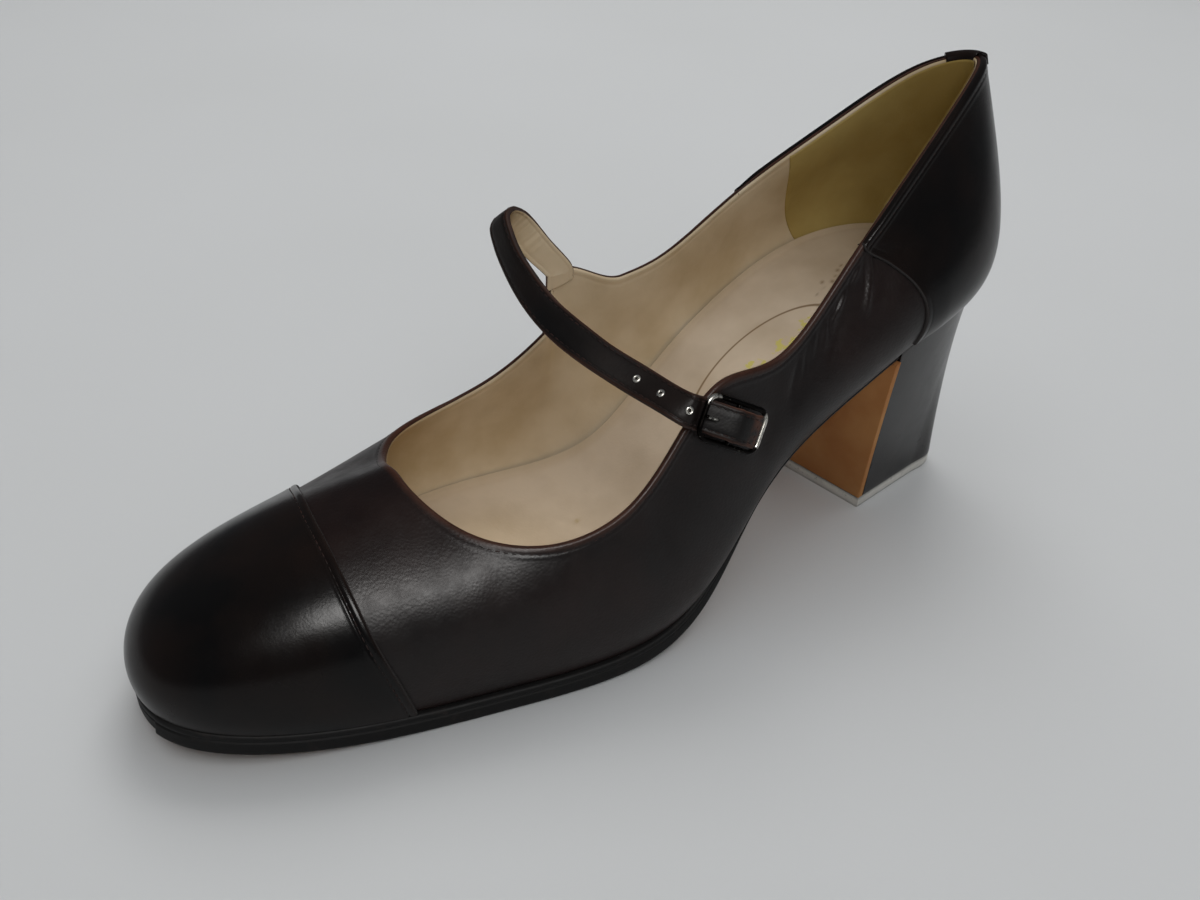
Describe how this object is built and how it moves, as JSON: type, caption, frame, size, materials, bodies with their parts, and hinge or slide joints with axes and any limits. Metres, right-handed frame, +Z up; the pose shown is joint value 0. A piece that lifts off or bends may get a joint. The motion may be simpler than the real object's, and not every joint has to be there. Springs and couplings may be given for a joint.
{
  "type": "mary jane shoe",
  "caption": "Round-toed leather mary jane court shoe with a toe cap, a buckled instep strap, a covered block heel and a thin leather sole; left foot.",
  "frame": {"origin": "on the floor, under the middle of the shoe's own bounding box", "axes": "+Z up, toe toward -Y, heel toward +Y, outer (lateral) side with the buckle on +X"},
  "size_m": [0.0838, 0.2442, 0.1217],
  "materials": {
    "upper_leather": "dark brown grained calf leather, satin",
    "black_leather": "black smooth calf leather, polished",
    "strap_leather": "black leather with raw brown edges",
    "sock_leather": "beige lining leather, matt",
    "sole_leather": "black edge-inked leather sole",
    "tan_leather": "tan burnished leather",
    "top_rubber": "worn pale grey rubber",
    "nickel": "worn nickel plate over brass"
  },
  "bodies": {
    "root": {"upper": "upper_leather", "insole": "sock_leather", "outsole": "sole_leather", "toe_cap": "black_leather", "heel_counter": "black_leather", "heel": "black_leather", "top_piece": "top_rubber", "heel_breast": "tan_leather", "strap": "strap_leather", "strap_eyelet_1": "nickel", "strap_eyelet_2": "nickel", "strap_eyelet_3": "nickel", "buckle_frame": "nickel", "buckle_prong": "nickel", "buckle_tab": "strap_leather"}
  },
  "joints": []
}
